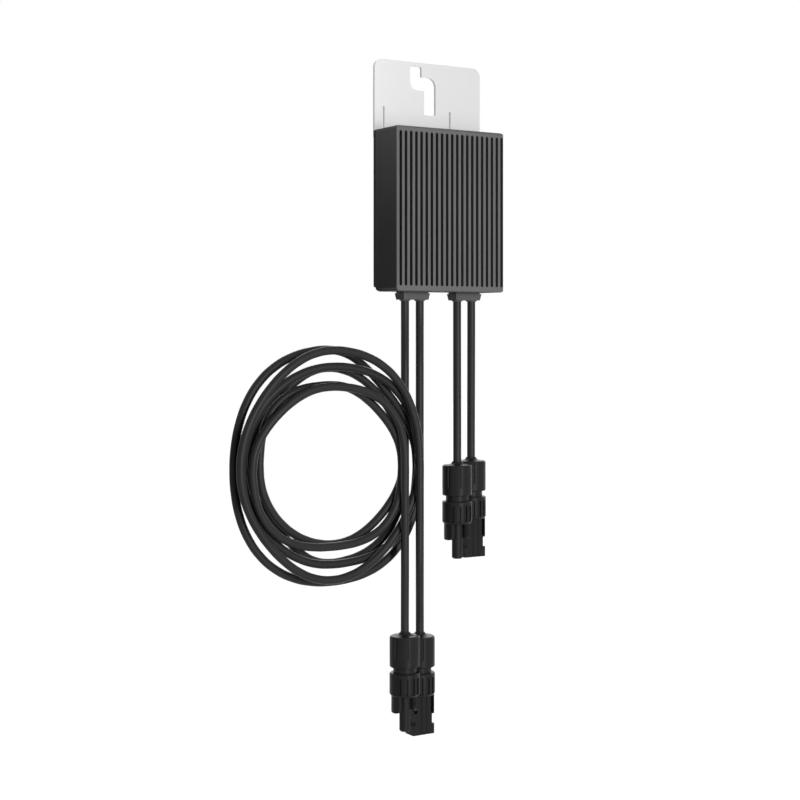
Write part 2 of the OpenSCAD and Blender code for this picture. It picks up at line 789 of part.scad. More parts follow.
// Body with a sleeve for the mating nose, two latch arms and side catches
module latch_body(at) {
    arm_slot = 2.3;
    arm_t = 0.9;
    slot_l = 11.8;
    slot_end = z_nose + slot_l;
    catch_top = slot_end + 1.1;
    catch_h = 6.8;
    catch_t = 2.2;
    catch_r = 0.6;
    block_r = 0.8;
    sleeve_r = nose_d / 2 + 0.3;
    sleeve_top = slot_end + 1.4;
    line_w = 0.8;
    line_x = 2.1;
    line_t = 0.4;
    color([0.09, 0.09, 0.09]) translate(at) difference() {
        union() {
            body_head();
            translate([-latch_w / 2, -latch_d / 2, -latch_l])
                linear_extrude(latch_l - z_taper)
                    rounded_rect(latch_w, latch_d, [block_r, block_r, block_r, block_r]);
        }
        for (side = [-1, 1]) {
            translate([side * (latch_w / 2 - arm_t - arm_slot / 2) - arm_slot / 2, -latch_d, -slot_end])
                cube([arm_slot, 2 * latch_d, slot_end - z_nose]);
            translate([side * (latch_w / 2 + catch_t / 2), 0, -catch_top - catch_h])
                from_front(latch_d, 2 * latch_d) translate([-catch_t * 1.5, 0])
                    rounded_rect(3 * catch_t, catch_h, [catch_r, catch_r, catch_r, catch_r]);
            for (y = [-latch_d / 2 - eps, latch_d / 2 - line_t])
                translate([side * line_x - line_w / 2, y, -latch_l - eps])
                    cube([line_w, eps + line_t, latch_l - z_nose + eps]);
        }
        body_bores(sleeve_top);
        translate([0, 0, -latch_l - eps]) cylinder(r = sleeve_r, h = latch_l - sleeve_top + eps);
    }
}

// Turned contact with a hole that takes the mating pin
module socket_contact(at) {
    hole_l = 16;
    end = nose_l - 0.4;
    color([0.8, 0.6, 0.3]) translate(at) difference() {
        translate([0, 0, -end]) cylinder(r = contact_r, h = end - z_crimp);
        translate([0, 0, -end - eps]) cylinder(r = pin_r, h = hole_l + eps);
    }
}

// Turned contact with a pin inside the sleeve
module pin_contact(at) {
    shoulder_in = 13.2;
    shoulder = z_nose + shoulder_in;
    pin_end = latch_l - 3.7;
    tip = 1;
    color([0.8, 0.6, 0.3]) translate(at) {
        translate([0, 0, -shoulder]) cylinder(r = contact_r, h = shoulder - z_crimp);
        translate([0, 0, -pin_end + tip]) cylinder(r = pin_r - pin_gap, h = pin_end - shoulder);
        translate([0, 0, -pin_end]) cylinder(r1 = pin_r * 0.5, r2 = pin_r - pin_gap, h = tip + thread_gap);
    }
}

module output_nose_nut() { cap_nut(out_nose_at); }
module output_nose_clamp() { clamp_cage(out_nose_at); }
module output_nose_seal() { cable_seal(out_nose_at); }
module output_nose_body() { nose_body(out_nose_at); }
module output_nose_contact() { socket_contact(out_nose_at); }
module output_latch_nut() { cap_nut(out_latch_at); }
module output_latch_clamp() { clamp_cage(out_latch_at); }
module output_latch_seal() { cable_seal(out_latch_at); }
module output_latch_body() { latch_body(out_latch_at); }
module output_latch_contact() { pin_contact(out_latch_at); }
module input_nose_nut() { cap_nut(in_nose_at); }
module input_nose_clamp() { clamp_cage(in_nose_at); }
module input_nose_seal() { cable_seal(in_nose_at); }
module input_nose_body() { nose_body(in_nose_at); }
module input_nose_contact() { socket_contact(in_nose_at); }
module input_latch_nut() { cap_nut(in_latch_at); }
module input_latch_clamp() { clamp_cage(in_latch_at); }
module input_latch_seal() { cable_seal(in_latch_at); }
module input_latch_body() { latch_body(in_latch_at); }
module input_latch_contact() { pin_contact(in_latch_at); }

// Round tube swept along a route, with flat ends
function unit(v) = v / norm(v);
function heading(route, i) = unit(route[min(i + 1, len(route) - 1)] - route[max(i - 1, 0)]);
function ring(route, i) =
    let (t = heading(route, i), a = unit(cross([0, 1, 0], t)), b = cross(t, a))
    [for (k = [0:tube_sides - 1]) let (turn = 360 * k / tube_sides)
        route[i] + cable_r * (cos(turn) * a + sin(turn) * b)];
module tube(route) {
    s = tube_sides;
    last = len(route) - 1;
    points = [for (i = [0:last]) each ring(route, i)];
    sides = [for (i = [0:last - 1]) for (k = [0:s - 1])
        [i * s + k, (i + 1) * s + k, (i + 1) * s + (k + 1) % s, i * s + (k + 1) % s]];
    caps = [[for (k = [0:s - 1]) k], [for (k = [s - 1:-1:0]) last * s + k]];
    color([0.08, 0.08, 0.08]) polyhedron(points, concat(sides, caps));
}

module input_cable(x, at) {
    tube(bent_route(out_place(gland_x + x), crimp_place(at), exit_l, z_crimp + entry_l));
}

module input_cable_left() { input_cable(cable_x[0], in_nose_at); }
module input_cable_right() { input_cable(cable_x[1], in_latch_at); }

module upper_lead(x) { tube(bent_route(out_place(x), coil_place(x, 1), exit_l, stub_l)); }
module output_upper_lead_left() { upper_lead(-gland_x + cable_x[0]); }
module output_upper_lead_right() { upper_lead(-gland_x + cable_x[1]); }

module lower_lead(x, at) {
    tube(bent_route(coil_place(x, -1), crimp_place(at), stub_l, z_crimp + entry_l));
}

module output_lower_lead_left() { lower_lead(-gland_x + cable_x[0], out_nose_at); }
module output_lower_lead_right() { lower_lead(-gland_x + cable_x[1], out_latch_at); }

// Outer shape of the wound leads, with the straight stretches that run in and out of it
module output_coil() {
    color([0.08, 0.08, 0.08]) {
        translate([coil_x, y_cable, z_coil]) rotate([90, 0, 0]) rotate_extrude($fn = 96)
            translate([coil_id / 2, -coil_t / 2])
                rounded_rect((coil_od - coil_id) / 2, coil_t, [coil_edge, coil_edge, coil_edge, coil_edge]);
        for (x = cable_x) {
            translate([-gland_x + x + stub_x, y_cable + stub_y, z_coil]) cylinder(r = cable_r, h = stub_h);
            translate([-gland_x + x - stub_x, y_cable - stub_y, z_coil - stub_h])
                cylinder(r = cable_r, h = stub_h);
        }
    }
}

finned_housing();
back_cover();
cover_gasket();
cover_screws();
mounting_plate();
plate_screws();
output_gland();
input_gland();
circuit_board();
board_screws();
inductor_cores();
inductor_windings();
input_capacitors();
output_capacitors();
switching_transistors();
thermal_pad();
control_chips();
output_lead_tails();
input_lead_tails();
terminal_lugs();
terminal_screws();
terminal_nuts();
output_nose_nut();
output_nose_clamp();
output_nose_seal();
output_nose_body();
output_nose_contact();
output_latch_nut();
output_latch_clamp();
output_latch_seal();
output_latch_body();
output_latch_contact();
input_nose_nut();
input_nose_clamp();
input_nose_seal();
input_nose_body();
input_nose_contact();
input_latch_nut();
input_latch_clamp();
input_latch_seal();
input_latch_body();
input_latch_contact();
input_cable_left();
input_cable_right();
output_upper_lead_left();
output_upper_lead_right();
output_lower_lead_left();
output_lower_lead_right();
output_coil();
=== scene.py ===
"""Dresses a packed solar power optimizer: leads, casting, plate, outlets, connectors and stage."""

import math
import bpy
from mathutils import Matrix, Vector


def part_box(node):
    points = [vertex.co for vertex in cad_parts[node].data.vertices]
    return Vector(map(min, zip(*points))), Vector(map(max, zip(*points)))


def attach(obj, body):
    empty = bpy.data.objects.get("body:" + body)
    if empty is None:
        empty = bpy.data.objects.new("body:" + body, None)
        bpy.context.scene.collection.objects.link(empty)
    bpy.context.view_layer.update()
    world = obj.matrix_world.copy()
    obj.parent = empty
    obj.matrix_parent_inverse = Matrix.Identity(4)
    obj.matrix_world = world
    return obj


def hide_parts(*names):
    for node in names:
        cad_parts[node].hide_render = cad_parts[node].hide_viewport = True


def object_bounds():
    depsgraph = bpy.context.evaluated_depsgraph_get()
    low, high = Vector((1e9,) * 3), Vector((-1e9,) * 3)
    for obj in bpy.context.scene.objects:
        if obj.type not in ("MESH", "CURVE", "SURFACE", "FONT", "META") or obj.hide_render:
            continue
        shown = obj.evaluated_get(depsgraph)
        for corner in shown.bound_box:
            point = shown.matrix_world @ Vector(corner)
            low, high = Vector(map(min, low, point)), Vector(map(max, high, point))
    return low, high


bl_info = {
    "name": "Power optimizer dresser",
    "version": (1, 0, 0),
    "blender": (4, 5, 0),
    "location": "View3D > Sidebar > Optimizer",
    "description": "Models the visible pieces of a solar power optimizer around its packed frame",
    "category": "Object",
}

import bpy
from mathutils import Vector

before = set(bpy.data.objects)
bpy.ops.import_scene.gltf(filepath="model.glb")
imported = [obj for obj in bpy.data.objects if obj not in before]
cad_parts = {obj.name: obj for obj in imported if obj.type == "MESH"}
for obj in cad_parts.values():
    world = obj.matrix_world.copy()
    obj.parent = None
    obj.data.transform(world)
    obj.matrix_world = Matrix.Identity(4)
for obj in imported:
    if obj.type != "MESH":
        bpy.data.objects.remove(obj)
CAD_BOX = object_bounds()

MM = 0.001
BODY = "root"
MERGE_DISTANCE = 0.002 * MM
FLAT_ANGLE = math.radians(0.2)
SHARP_ANGLE = math.radians(32)
QUARTER_TURN = math.radians(90)
FLAT_WEIGHT = 100
HEXAGON = 6
WHITE = (1, 1, 1, 1)

CONNECTORS = ("output_nose", "output_latch", "input_nose", "input_latch")


# Modelling helpers

def deselect():
    """Leaves every object deselected, in object mode."""
    if bpy.context.object and bpy.context.object.mode != "OBJECT":
        bpy.ops.object.mode_set(mode="OBJECT")
    bpy.ops.object.select_all(action="DESELECT")


def activate(piece):
    """Makes one piece the only selected and the active one."""
    deselect()
    piece.select_set(True)
    bpy.context.view_layer.objects.active = piece


def keep(piece, slot, *nodes):
    """Lets a finished piece ride on the part and stand for its CAD nodes."""
    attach(piece, BODY)
    if nodes:
        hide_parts(*nodes)
    return piece


def copy_of(node, name):
    """A copy of a CAD node as a new piece, with its triangles merged into flat faces."""
    piece = bpy.data.objects.new(name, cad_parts[node].data.copy())
    bpy.context.scene.collection.objects.link(piece)
    piece.data.materials.clear()
    activate(piece)
    if piece.data.has_custom_normals:
        bpy.ops.mesh.customdata_custom_splitnormals_clear()
    bpy.ops.object.mode_set(mode="EDIT")
    bpy.ops.mesh.select_all(action="SELECT")
    bpy.ops.mesh.remove_doubles(threshold=MERGE_DISTANCE)
    bpy.ops.mesh.dissolve_limited(angle_limit=FLAT_ANGLE)
    bpy.ops.object.mode_set(mode="OBJECT")
    return piece


def shade_curves(piece):
    """Shades the curves of a piece smooth and keeps its flats flat and its edges sharp."""
    activate(piece)
    bpy.ops.object.shade_smooth_by_angle(angle=SHARP_ANGLE)
    flat = piece.modifiers.new("flat_faces", "WEIGHTED_NORMAL")
    flat.keep_sharp = True
    flat.weight = FLAT_WEIGHT
    bpy.ops.object.modifier_apply(modifier=flat.name)


def dress(node, name, material, slot):
    """A copy of a CAD node as a finished piece that stands for it."""
    piece = copy_of(node, name)
    piece.data.materials.append(material)
    shade_curves(piece)
    keep(piece, slot, node)


def cut_drives(piece, node, head, drive, depth, finish):
    """Sinks a hexagon drive into the heads of four screws, one in each corner of a node; the
    drive's walls take the given dark material, which is painted shade in the recess.
    """
    low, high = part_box(node)
    for x in (low.x + head / 2, high.x - head / 2):
        for z in (low.z + head / 2, high.z - head / 2):
            deselect()
            bpy.ops.mesh.primitive_cylinder_add(
                vertices=HEXAGON, radius=drive / 2, depth=2 * depth,
                location=(x, high.y, z), rotation=(QUARTER_TURN, 0, 0))
            cutter = bpy.context.object
            # The cutter's dark material passes to the drive's walls: painted shade in the recess.
            cutter.data.materials.append(finish)
            cut = piece.modifiers.new("drive", "BOOLEAN")
            cut.operation = "DIFFERENCE"
            cut.object = cutter
            cut.material_mode = "TRANSFER"
            activate(piece)
            bpy.ops.object.modifier_apply(modifier=cut.name)
            bpy.data.objects.remove(cutter)


# Shader node groups

NOISE_MIDDLE = 0.5
TONE_SWING = 2
GLOSS_FINENESS = 3.7
RIPPLE_FINENESS = 0.12
BROAD_FINENESS = 0.15
LINE_SHARE = 0.5


def new_group(name, inputs, outputs):
    """An empty shader node group with named sockets, with its input and output nodes."""
    tree = bpy.data.node_groups.new(name, "ShaderNodeTree")
    for label, kind, value in inputs:
        socket = tree.interface.new_socket(label, in_out="INPUT", socket_type=kind)
        socket.default_value = value
    for label, kind in outputs:
        tree.interface.new_socket(label, in_out="OUTPUT", socket_type=kind)
    return tree, tree.nodes.new("NodeGroupInput"), tree.nodes.new("NodeGroupOutput")


def add_node(tree, kind, **settings):
    """A shader node with some of its settings."""
    made = tree.nodes.new(kind)
    for key, value in settings.items():
        setattr(made, key, value)
    return made


def calculate(tree, operation, first, second):
    """A maths node on two sockets or numbers."""
    made = add_node(tree, "ShaderNodeMath", operation=operation)
    for socket, value in zip(made.inputs, (first, second)):
        if isinstance(value, (int, float)):
            socket.default_value = value
        else:
            tree.links.new(value, socket)
    return made.outputs[0]


def noise(tree, coordinates, scale, detail):
    """A noise texture's value on these coordinates."""
    made = add_node(tree, "ShaderNodeTexNoise")
    made.inputs["Detail"].default_value = detail
    tree.links.new(coordinates, made.inputs["Vector"])
    if isinstance(scale, (int, float)):
        made.inputs["Scale"].default_value = scale
    else:
        tree.links.new(scale, made.inputs["Scale"])
    return made.outputs[0]


def tone_drift_group():
    """Slow drift of a finish in tone and in gloss."""
    tree, given, result = new_group(
        "tone_drift",
        [("Colour", "NodeSocketColor", (0.1, 0.1, 0.1, 1)), ("Scale", "NodeSocketFloat", 40),
         ("Tone Spread", "NodeSocketFloat", 0.1), ("Roughness", "NodeSocketFloat", 0.5),
         ("Gloss Spread", "NodeSocketFloat", 0.1)],
        [("Colour", "NodeSocketColor"), ("Roughness", "NodeSocketFloat")])
    place = add_node(tree, "ShaderNodeTexCoord").outputs["Object"]
    tone = noise(tree, place, given.outputs["Scale"], detail=3)
    tone = calculate(tree, "SUBTRACT", tone, NOISE_MIDDLE)
    tone = calculate(tree, "MULTIPLY", tone, given.outputs["Tone Spread"])
    factor = calculate(tree, "ADD", calculate(tree, "MULTIPLY", tone, TONE_SWING), 1)
    scaled = add_node(tree, "ShaderNodeVectorMath", operation="SCALE")
    tree.links.new(given.outputs["Colour"], scaled.inputs[0])
    tree.links.new(factor, scaled.inputs["Scale"])
    tree.links.new(scaled.outputs[0], result.inputs["Colour"])
    gloss_scale = calculate(tree, "MULTIPLY", given.outputs["Scale"], GLOSS_FINENESS)
    gloss = noise(tree, place, gloss_scale, detail=4)
    gloss = calculate(tree, "SUBTRACT", gloss, NOISE_MIDDLE)
    gloss = calculate(tree, "MULTIPLY", gloss, given.outputs["Gloss Spread"])
    roughness = calculate(tree, "ADD", gloss, given.outputs["Roughness"])
    tree.links.new(roughness, result.inputs["Roughness"])
    return tree


def fine_grain_group():
    """Fine skin of a coat or a moulding: small dimples on a slow ripple."""
    tree, given, result = new_group(
        "fine_grain",
        [("Scale", "NodeSocketFloat", 2500), ("Ripple", "NodeSocketFloat", 0.3)],
        [("Height", "NodeSocketFloat")])
    place = add_node(tree, "ShaderNodeTexCoord").outputs["Object"]
    dimples = noise(tree, place, given.outputs["Scale"], detail=2)
    ripple_scale = calculate(tree, "MULTIPLY", given.outputs["Scale"], RIPPLE_FINENESS)
    ripple = noise(tree, place, ripple_scale, detail=2)
    ripple = calculate(tree, "MULTIPLY", ripple, given.outputs["Ripple"])
    tree.links.new(calculate(tree, "ADD", dimples, ripple), result.inputs["Height"])
    return tree


def drawn_lines_group():
    """Lines that rolling, brushing or drawing leaves in one direction."""
    tree, given, result = new_group(
        "drawn_lines",
        [("Stretch", "NodeSocketVector", (1, 1, 1)), ("Scale", "NodeSocketFloat", 900)],
        [("Height", "NodeSocketFloat"), ("Tone", "NodeSocketFloat")])
    place = add_node(tree, "ShaderNodeTexCoord").outputs["Object"]
    stretched = add_node(tree, "ShaderNodeVectorMath", operation="MULTIPLY")
    tree.links.new(place, stretched.inputs[0])
    tree.links.new(given.outputs["Stretch"], stretched.inputs[1])
    fine = noise(tree, stretched.outputs[0], given.outputs["Scale"], detail=4)
    broad_scale = calculate(tree, "MULTIPLY", given.outputs["Scale"], BROAD_FINENESS)
    broad = noise(tree, stretched.outputs[0], broad_scale, detail=3)
    tree.links.new(fine, result.inputs["Height"])
    fine_part = calculate(tree, "MULTIPLY", fine, LINE_SHARE)
    broad_part = calculate(tree, "MULTIPLY", broad, 1 - LINE_SHARE)
    tree.links.new(calculate(tree, "ADD", fine_part, broad_part), result.inputs["Tone"])
    return tree


GROUP_MAKERS = {
    "tone_drift": tone_drift_group,
    "fine_grain": fine_grain_group,
    "drawn_lines": drawn_lines_group,
}
GROUPS = {}


def group(name):
    """One of the shared node groups, built on first use."""
    if name not in GROUPS:
        GROUPS[name] = GROUP_MAKERS[name]()
    return GROUPS[name]


def place_group(tree, name, **values):
    """A shared group's node in a material, with its own values."""
    made = add_node(tree, "ShaderNodeGroup", node_tree=group(name))
    for label, value in values.items():
        made.inputs[label.replace("_", " ")].default_value = value
    return made


# Materials

SKIN_RELIEF = 0.35
LINE_RELIEF = 0.25
METAL_PATCH = 12


def new_material(name, **constants):
    """A material with one Principled shader and some of its constant sockets set."""
    material = bpy.data.materials.new(name)
    material.use_nodes = True
    tree = material.node_tree
    shader = tree.nodes["Principled BSDF"]
    for label, value in constants.items():
        shader.inputs[label.replace("_", " ")].default_value = value
    return material, tree, shader


def add_bump(tree, shader, height, strength, depth):
    """Sends a height to the shader's normal."""
    bump = add_node(tree, "ShaderNodeBump")
    bump.inputs["Strength"].default_value = strength
    bump.inputs["Distance"].default_value = depth
    tree.links.new(height, bump.inputs["Height"])
    tree.links.new(bump.outputs["Normal"], shader.inputs["Normal"])


def skin_finish(name, colour, roughness, grain, depth, tone=0.12, gloss=0.12, patch=30,
                **constants):
    """A coat, moulding or rubber: drifting tone and gloss over a fine grain."""
    material, tree, shader = new_material(name, **constants)
    drift = place_group(tree, "tone_drift", Colour=(*colour, 1), Scale=patch, Tone_Spread=tone,
                        Roughness=roughness, Gloss_Spread=gloss)
    tree.links.new(drift.outputs["Colour"], shader.inputs["Base Color"])
    tree.links.new(drift.outputs["Roughness"], shader.inputs["Roughness"])
    skin = place_group(tree, "fine_grain", Scale=grain)
    add_bump(tree, shader, skin.outputs["Height"], SKIN_RELIEF, depth)
    return material


def drawn_finish(name, colour, roughness, stretch, scale, depth, tone=0.1, gloss=0.15,
                 **constants):
    """A rolled or brushed metal with lines in one direction."""
    material, tree, shader = new_material(name, **constants)
    lines = place_group(tree, "drawn_lines", Stretch=stretch, Scale=scale)
    shift = calculate(tree, "SUBTRACT", lines.outputs["Tone"], NOISE_MIDDLE)
    shift = calculate(tree, "MULTIPLY", shift, gloss)
    tree.links.new(calculate(tree, "ADD", shift, roughness), shader.inputs["Roughness"])
    drift = place_group(tree, "tone_drift", Colour=(*colour, 1), Scale=METAL_PATCH,
                        Tone_Spread=tone)
    tree.links.new(drift.outputs["Colour"], shader.inputs["Base Color"])
    add_bump(tree, shader, lines.outputs["Height"], LINE_RELIEF, depth)
    return material


def finish_nodes(material, *nodes):
    """Gives a material to CAD nodes that stay as they are."""
    for name in nodes:
        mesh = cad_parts[name].data
        mesh.materials.clear()
        mesh.materials.append(material)


# Settings

class LeadSettings(bpy.types.PropertyGroup):
    """Sizes and colour of the leads."""
    diameter: bpy.props.FloatProperty(
        name="Diameter", description="Thickness of a lead", default=0.0056,
        unit="LENGTH", precision=4)
    colour: bpy.props.FloatVectorProperty(
        name="Jacket", description="Colour of the jacket", default=(0.028, 0.028, 0.029),
        subtype="COLOR")
    layer: bpy.props.FloatProperty(
        name="Layer", description="Depth from one turn of the coil to the next", default=0.0057,
        unit="LENGTH", precision=4)
    left_length: bpy.props.FloatProperty(
        name="Left output lead", description="Length of the left output lead", default=1.305,
        unit="LENGTH")
    right_length: bpy.props.FloatProperty(
        name="Right output lead", description="Length of the right output lead", default=1.569,
        unit="LENGTH")
    input_length: bpy.props.FloatProperty(
        name="Input leads", description="Length of an input lead", default=0.128, unit="LENGTH")


class HousingSettings(bpy.types.PropertyGroup):
    """Colours of the casting, the cover and the plate."""
    coat: bpy.props.FloatVectorProperty(
        name="Coat", description="Colour of the casting's coat", default=(0.175, 0.175, 0.178),
        subtype="COLOR")
    cover: bpy.props.FloatVectorProperty(
        name="Cover", description="Colour of the back cover", default=(0.02, 0.02, 0.021),
        subtype="COLOR")
    plate: bpy.props.FloatVectorProperty(
        name="Plate", description="Colour of the bare plate", default=(0.78, 0.78, 0.785),
        subtype="COLOR")


class ConnectorSettings(bpy.types.PropertyGroup):
    """Colours of the outlets and the connectors."""
    colour: bpy.props.FloatVectorProperty(
        name="Moulding", description="Colour of the connectors", default=(0.02, 0.02, 0.0205),
        subtype="COLOR")
    outlet: bpy.props.FloatVectorProperty(
        name="Outlet", description="Colour of the cable outlets", default=(0.11, 0.11, 0.112),
        subtype="COLOR")


class StageSettings(bpy.types.PropertyGroup):
    """Camera, floor and lamps."""
    eye: bpy.props.FloatVectorProperty(
        name="Camera", description="Place of the camera",
        default=(-0.592656, -0.919808, -0.138206), subtype="TRANSLATION")
    turn: bpy.props.FloatProperty(
        name="Turn", description="Turn of the camera to the right",
        default=math.radians(31.8866), subtype="ANGLE")
    lens: bpy.props.FloatProperty(
        name="Lens", description="Focal length of the camera in millimetres", default=71.297,
        unit="CAMERA")
    shift: bpy.props.FloatProperty(
        name="Shift", description="Vertical shift of the camera", default=-0.0823, precision=4)
    drop: bpy.props.FloatProperty(
        name="Floor drop", description="Distance of the floor below the part", default=0.55,
        unit="LENGTH")
    key: bpy.props.FloatProperty(
        name="Key lamp", description="Power of the frontal lamp in watts", default=15.6,
        unit="POWER")
    low_strip: bpy.props.FloatProperty(
        name="Low strip", description="Power of the lamp in front of the connectors in watts",
        default=4, unit="POWER")
    top_lamp: bpy.props.FloatProperty(
        name="Top lamp", description="Power of the small lamp above the left side in watts",
        default=0.02, unit="POWER", precision=3)
    rear_lamp: bpy.props.FloatProperty(
        name="Rear lamp", description="Power of the wide lamp behind the right side in watts",
        default=20, unit="POWER")
    ambient: bpy.props.FloatProperty(
        name="Ambient", description="Strength of the light from all round", default=0.015)


# Leads

# One row per turn, in millimetres: its lowest point below the coil's middle, its furthest point to
# the left and its highest point. Then the inward pull in each quarter, in the order of the run.
TURNS = {
    "left": ((63.4, -143.3, 64.0, (-0.051, 0.102, 0.061, 0.025)),
             (51.3, -136.1, 52.6, (0.047, 0.006, -0.09, 0.063)),
             (52.9, -141.0, 51.6, (-0.091, -0.061, 0.05, -0.059))),
    "right": ((75.8, -154.4, 75.8, (-0.058, -0.033, -0.037, 0.094)),
              (64.5, -148.0, 64.7, (-0.082, 0.016, 0.002, -0.044)),
              (74.8, -149.6, 75.4, (0.031, 0.045, 0.035, -0.034))),
}
# Shift of the right-hand end of each turn from the upright stretch, in millimetres
TURN_JOINTS = {"left": (0, -1.5, -2.6, 0), "right": (0, -2.8, -0.9, 0)}
POINTS_PER_TURN = 32
QUARTERS = 4
LAYER_HOLD = 0.13
STRAIGHT = 6 * MM
COIL_CLEAR = 64 * MM
BEND_POINTS = 12
UPRIGHT_SHARES = (0.25, 0.5, 0.75)
LEAD_FACETS = 5
LEAD_STEPS = 5


def ease(share):
    """Smooth step from 0 to 1."""
    share = min(max(share, 0.0), 1.0)
    return share * share * (3 - 2 * share)


def in_sight(place, depth):
    """The point behind or before a place that the camera sees at that place."""
    eye = Vector(bpy.context.scene.stage_settings.eye)
    return place + (place - eye) * (depth / (place.y - eye.y))


def at_height(place, height):
    """A place moved up or down to a height."""
    return Vector((place.x, place.y, height))


def lead_start(tails, side):
    """Where a lead leaves its outlet, from the box of the tails inside."""
    low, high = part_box(tails)
    radius = bpy.context.scene.lead_settings.diameter / 2
    x = low.x + radius if side == "left" else high.x - radius
    return Vector((x, (low.y + high.y) / 2, low.z))


def double_bend(top, bottom):
    """A soft S-bend from one upright stretch to another."""
    shares = [i / BEND_POINTS for i in range(BEND_POINTS + 1)]
    return [at_height(top.lerp(bottom, ease(share)), top.z + (bottom.z - top.z) * share)
            for share in shares]


def into_connector(connector):
    """Points on a connector's axis: above its nut, in the nut and at the crimp."""
    low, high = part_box(connector + "_nut")
    axis = (low + high) / 2
    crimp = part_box(connector + "_contact")[1].z
    heights = (high.z + STRAIGHT / 2, (high.z + crimp) / 2, crimp)
    return [at_height(axis, height) for height in heights]


def coil_turns(side, start):
    """The wound stretch: three turns from the back of the coil to its front."""
    layer = bpy.context.scene.lead_settings.layer
    low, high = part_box("output_coil")
    middle_z = (low.z + high.z) / 2
    points = []
    rows = TURNS[side]
    for i in range(len(rows) * POINTS_PER_TURN + 1):
        turn = min(i // POINTS_PER_TURN, len(rows) - 1)
        below, left, above, pulls = rows[turn]
        share = i / POINTS_PER_TURN - turn
        angle = 2 * math.pi * share
        layers = turn + ease((share - LAYER_HOLD) / (1 - 2 * LAYER_HOLD))
        right = start.x + TURN_JOINTS[side][turn + round(share)] * MM
        pull = pulls[min(int(share * QUARTERS), QUARTERS - 1)]
        tight = 1 - pull * math.sin(2 * angle) ** 2
        across = (right - left * MM) / 2 * math.cos(angle) * tight
        reach = below if share <= 0.5 else above
        up = -reach * MM * math.sin(angle) * tight
        place = Vector(((right + left * MM) / 2 + across, start.y, middle_z + up))
        points.append(in_sight(place, layer * (len(rows) / 2 - layers)))
    return points


def output_route(side, connector):
    """An output lead from its outlet through the coil to its connector."""
    start = lead_start("output_lead_tails", side)
    turns = coil_turns(side, start)
    upper = at_height(turns[0], turns[0].z + COIL_CLEAR)
    lower = at_height(turns[-1], turns[-1].z - COIL_CLEAR)
    end = into_connector(connector)
    points = [start] + double_bend(at_height(start, start.z - STRAIGHT), upper)
    points += [upper.lerp(turns[0], share) for share in UPRIGHT_SHARES] + turns
    points += [turns[-1].lerp(lower, share) for share in UPRIGHT_SHARES]
    return points + double_bend(lower, end[0]) + end[1:]


def input_route(side, connector):
    """A short input lead from its outlet to its connector."""
    start = lead_start("input_lead_tails", side)
    end = into_connector(connector)
    return [start] + double_bend(at_height(start, start.z - STRAIGHT), end[0]) + end[1:]


def make_lead(name, points, diameter, material):
    """A round lead as one open curve through its route."""
    curve = bpy.data.curves.new(name, "CURVE")
    curve.dimensions = "3D"
    curve.bevel_depth = diameter / 2
    curve.bevel_resolution = LEAD_FACETS
    curve.resolution_u = LEAD_STEPS
    curve.use_fill_caps = True
    spline = curve.splines.new("BEZIER")
    spline.bezier_points.add(len(points) - 1)
    for knot, place in zip(spline.bezier_points, points):
        knot.co = place
        knot.handle_left_type = knot.handle_right_type = "AUTO"
    curve.materials.append(material)
    piece = bpy.data.objects.new(name, curve)
    bpy.context.scene.collection.objects.link(piece)
    return piece


class OPTIMIZER_OT_leads(bpy.types.Operator):
    """Model the four leads from their outlets to their connectors"""
    bl_idname = "optimizer.leads"
    bl_label = "Leads"

    def execute(self, context):
        settings = context.scene.lead_settings
        jacket = skin_finish("lead_jacket", settings.colour, roughness=0.4, grain=1800,
                             depth=0.015 * MM, patch=60, Specular_IOR_Level=0.12)
        plans = (
            ("output_lead_left", output_route("left", "output_nose"), settings.left_length,
             "output_nose", "coiled",
             ("output_upper_lead_left", "output_lower_lead_left", "output_coil")),
            ("output_lead_right", output_route("right", "output_latch"), settings.right_length,
             "output_latch", "coiled",
             ("output_upper_lead_right", "output_lower_lead_right", "output_coil")),
            ("input_lead_left", input_route("left", "input_nose"), settings.input_length,
             "input_nose", "hanging", ("input_cable_left",)),
            ("input_lead_right", input_route("right", "input_latch"), settings.input_length,
             "input_latch", "hanging", ("input_cable_right",)),
        )
        for name, points, length, connector, lay, nodes in plans:
            lead = make_lead(name, points, settings.diameter, jacket)
            keep(lead, "lead_black", *nodes)
        finish_nodes(jacket, "output_lead_tails", "input_lead_tails")
        return {"FINISHED"}


# Housing, plate, outlets, connectors and electronics

# Node, piece, width of a head and width of its drive in millimetres
SCREW_SETS = (
    ("cover_screws", "cover_fasteners", 4.88, 2.0),
    ("plate_screws", "plate_fasteners", 5.85, 2.5),
)
DRIVE_DEPTH = 0.8 * MM


